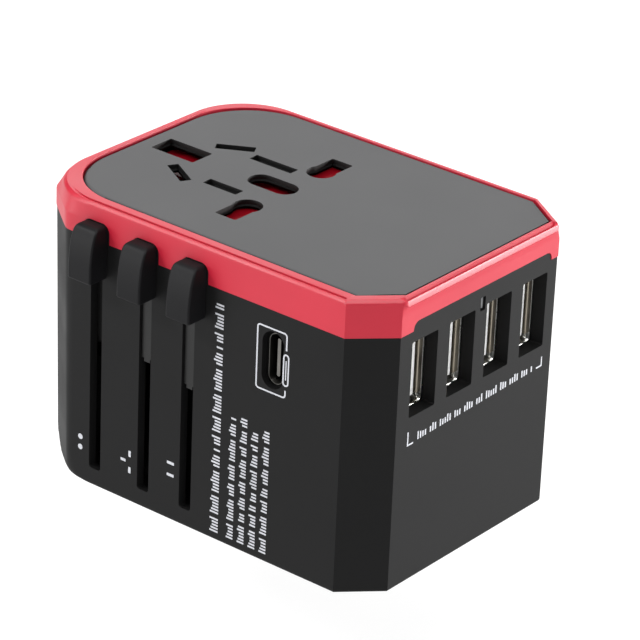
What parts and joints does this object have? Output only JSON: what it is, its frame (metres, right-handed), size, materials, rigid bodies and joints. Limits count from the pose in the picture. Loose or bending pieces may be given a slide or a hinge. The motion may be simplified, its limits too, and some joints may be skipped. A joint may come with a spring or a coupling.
{
  "type": "universal travel adapter",
  "caption": "Box-shaped travel adapter with a multi-standard socket face, slider-driven plug pins and USB charging ports.",
  "frame": {"origin": "centre of the plug face, the flat bottom that the plug pins come out of", "axes": "+Z towards the socket face, +X towards the end with the USB-A ports, -Y towards the side with the sliders and the USB-C port"},
  "size_m": [0.0726, 0.0572, 0.0513],
  "materials": {
    "black_plastic": "fine matte texture",
    "knob_plastic": "satin",
    "red_plastic": "satin red with soft sheen",
    "shutter_red": "satin",
    "grey_plastic": "fine matte texture",
    "tongue_grey": "moulded",
    "contact_brass": "stamped",
    "pin_brass": "brushed",
    "plated_pin": "nickel plated",
    "bright_steel": "plated",
    "board_green": "solder mask",
    "winding_tape": "tape",
    "capacitor_can": "printed sleeve",
    "light_pipe": "clear moulding",
    "fuse_ceramic": "glazed",
    "lead_red": "insulated wire"
  },
  "bodies": {
    "housing": {"housing_shell": "black_plastic", "screw_posts": "black_plastic", "base_cover": "black_plastic", "trim_ring": "red_plastic", "face_plate": "grey_plastic", "socket_cover": "black_plastic", "contact_block": "black_plastic", "live_contact": "contact_brass", "neutral_contact": "contact_brass", "earth_contact": "contact_brass", "line_shutter_spring": "bright_steel", "earth_shutter_spring": "bright_steel", "detent_springs": "bright_steel", "usb_board": "board_green", "usb_a_shell_1": "bright_steel", "usb_a_shell_2": "bright_steel", "usb_a_shell_3": "bright_steel", "usb_a_shell_4": "bright_steel", "usb_a_tongue_1": "tongue_grey", "usb_a_tongue_2": "tongue_grey", "usb_a_tongue_3": "tongue_grey", "usb_a_tongue_4": "tongue_grey", "usb_c_shell": "bright_steel", "usb_c_tongue": "black_plastic", "transformer": "winding_tape", "capacitors": "capacitor_can", "status_light_pipe": "light_pipe", "fuse": "fuse_ceramic", "fuse_clips": "contact_brass", "power_leads": "lead_red", "base_screws": "bright_steel"},
    "line_shutter_slider": {"line_shutter": "shutter_red"},
    "earth_shutter_slider": {"earth_shutter": "shutter_red"},
    "eu_plug": {"eu_knob": "knob_plastic", "eu_carrier": "black_plastic", "eu_pins": "plated_pin", "eu_pin_sleeves": "black_plastic"},
    "uk_plug": {"uk_knob": "knob_plastic", "uk_carrier": "black_plastic", "uk_pins": "pin_brass", "uk_pin_sleeves": "black_plastic"},
    "us_plug": {"us_knob": "knob_plastic", "us_carrier": "black_plastic"},
    "us_blade_a_swivel": {"us_blade_a": "plated_pin"},
    "us_blade_b_swivel": {"us_blade_b": "plated_pin"}
  },
  "joints": [
    {"name": "eu_slide", "type": "slide", "parent": "housing", "child": "eu_plug", "axis": [0, 0, -1], "range_m": [0, 0.023]},
    {"name": "uk_slide", "type": "slide", "parent": "housing", "child": "uk_plug", "axis": [0, 0, -1], "range_m": [0, 0.0231]},
    {"name": "us_slide", "type": "slide", "parent": "housing", "child": "us_plug", "axis": [0, 0, -1], "range_m": [0, 0.0215]},
    {"name": "us_blade_a_turn", "type": "hinge", "parent": "us_plug", "child": "us_blade_a_swivel", "pos_m": [0.006, 0.00685, 0.0264], "axis": [0, 0, 1], "range_deg": [0, 30]},
    {"name": "us_blade_b_turn", "type": "hinge", "parent": "us_plug", "child": "us_blade_b_swivel", "pos_m": [0.006, -0.00685, 0.0264], "axis": [0, 0, -1], "range_deg": [0, 30]},
    {"name": "line_shutter_slide", "type": "slide", "parent": "housing", "child": "line_shutter_slider", "axis": [1, 0, 0], "range_m": [0, 0.0056], "stiffness_N_per_m": 20, "deforming": ["line_shutter_spring"]},
    {"name": "earth_shutter_slide", "type": "slide", "parent": "housing", "child": "earth_shutter_slider", "axis": [1, 0, 0], "range_m": [0, 0.01], "stiffness_N_per_m": 20, "deforming": ["earth_shutter_spring"]}
  ]
}
